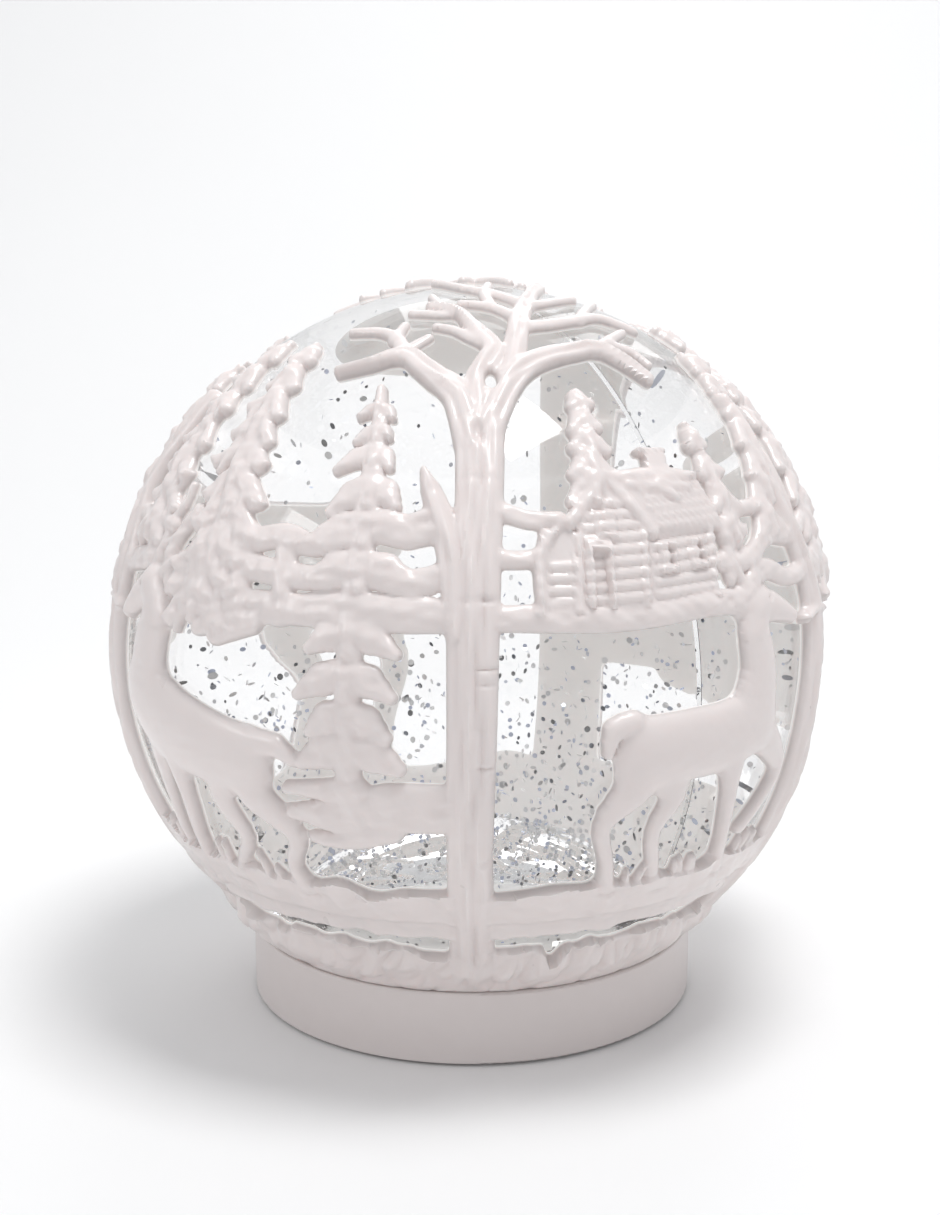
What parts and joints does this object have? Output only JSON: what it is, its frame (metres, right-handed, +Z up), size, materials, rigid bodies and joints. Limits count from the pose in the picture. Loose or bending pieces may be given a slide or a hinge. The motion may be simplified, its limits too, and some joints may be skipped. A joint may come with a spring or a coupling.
{
  "type": "snow globe",
  "caption": "Water-filled glitter globe on a low round battery base, wrapped in an openwork moulded winter wood with deer and a cabin.",
  "frame": {"origin": "centre of the plane it stands on, under the middle of the base", "axes": "+Z up, -Y towards the front bare tree, +X to the viewer's right"},
  "size_m": [0.1556, 0.1571, 0.1573],
  "materials": {
    "frosted_skin": "satin warm white, moulded relief",
    "clear_shell": "clear polished acrylic",
    "liquid": "clear water with a trace of glycerine",
    "flakes": "silver and white foil flakes",
    "white_floor": "smooth white",
    "base_white": "smooth satin white",
    "cover_white": "fine spark texture",
    "seal_rubber": "soft black",
    "foot_rubber": "soft pale grey",
    "impeller_nylon": "natural nylon",
    "magnet_nickel": "nickel plated",
    "bright_steel": "zinc plated",
    "motor_steel": "plated can",
    "board_green": "solder mask",
    "lamp_epoxy": "clear cool-white lamp",
    "chip_black": "moulded epoxy",
    "cell_jacket": "plain printed jacket",
    "contact_nickel": "nickel plated spring steel",
    "switch_black": "black nylon",
    "tray_white": "white polystyrene"
  },
  "bodies": {
    "globe": {"overlay_left": "frosted_skin", "overlay_right": "frosted_skin", "globe_half_front": "clear_shell", "globe_half_rear": "clear_shell", "liquid": "liquid", "glitter": "flakes", "globe_floor": "white_floor", "impeller_guard": "white_floor", "rim_gasket": "seal_rubber", "fill_plug": "seal_rubber", "impeller_pin": "bright_steel", "motor_can": "motor_steel", "motor_bracket": "tray_white", "bracket_screws": "bright_steel", "board_screws": "bright_steel", "floor_screws": "bright_steel", "cover_screws": "bright_steel", "circuit_board": "board_green", "led_lamps": "lamp_epoxy", "timer_chip": "chip_black", "base_shell": "base_white", "bottom_cover": "cover_white", "rubber_feet": "foot_rubber", "battery_tray": "tray_white", "battery_cells": "cell_jacket", "contact_springs": "contact_nickel", "contact_plates": "contact_nickel", "switch_case": "chip_black"},
    "door": {"battery_door": "cover_white", "door_screw": "bright_steel"},
    "slider": {"switch_slider": "switch_black"},
    "drive": {"motor_shaft": "bright_steel", "drive_disc": "impeller_nylon", "drive_magnets": "magnet_nickel"},
    "rotor": {"impeller": "impeller_nylon", "impeller_magnets": "magnet_nickel"}
  },
  "joints": [
    {"name": "door_hinge", "type": "hinge", "parent": "globe", "child": "door", "pos_m": [0, -0.0273, 0.00075], "axis": [-1, 0, 0], "range_deg": [0, 85]},
    {"name": "switch_slide", "type": "slide", "parent": "globe", "child": "slider", "axis": [0, 1, 0], "range_m": [-0.003, 0.003]},
    {"name": "motor_spin", "type": "hinge", "parent": "globe", "child": "drive", "pos_m": [0, 0, 0.027], "axis": [0, 0, 1], "continuous": true},
    {"name": "impeller_spin", "type": "hinge", "parent": "globe", "child": "rotor", "pos_m": [0, 0, 0.032], "axis": [0, 0, 1], "continuous": true}
  ],
  "couplings": [
    {"joint": "motor_spin", "follows": "impeller_spin", "ratio": 1}
  ]
}
